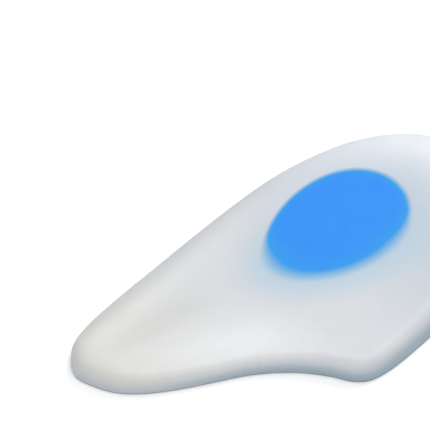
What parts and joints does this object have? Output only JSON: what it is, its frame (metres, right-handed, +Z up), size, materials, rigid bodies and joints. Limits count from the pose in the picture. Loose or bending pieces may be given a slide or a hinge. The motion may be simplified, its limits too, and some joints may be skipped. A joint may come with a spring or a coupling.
{
  "type": "silicone heel wedge",
  "caption": "Moulded silicone heel wedge with a slanted front lobe, a softer blue spot in its sole and a navy fabric cover on its dished foot side.",
  "frame": {"origin": "middle of the bounding box, on the surface that the rim rests on", "axes": "+X towards the back of the heel, -X towards the tip of the long front lobe; +Z up, out of the sole, because the wedge lies sole side up; +Y towards the long edge"},
  "size_m": [0.113, 0.059, 0.0101],
  "materials": {
    "silicone": "satin moulded silicone, milky and translucent",
    "soft_silicone": "satin softer silicone, dyed blue",
    "cover_fabric": "fine navy knit"
  },
  "bodies": {
    "root": {"silicone_body": "silicone", "soft_spot": "soft_silicone", "fabric_cover": "cover_fabric"}
  },
  "joints": []
}
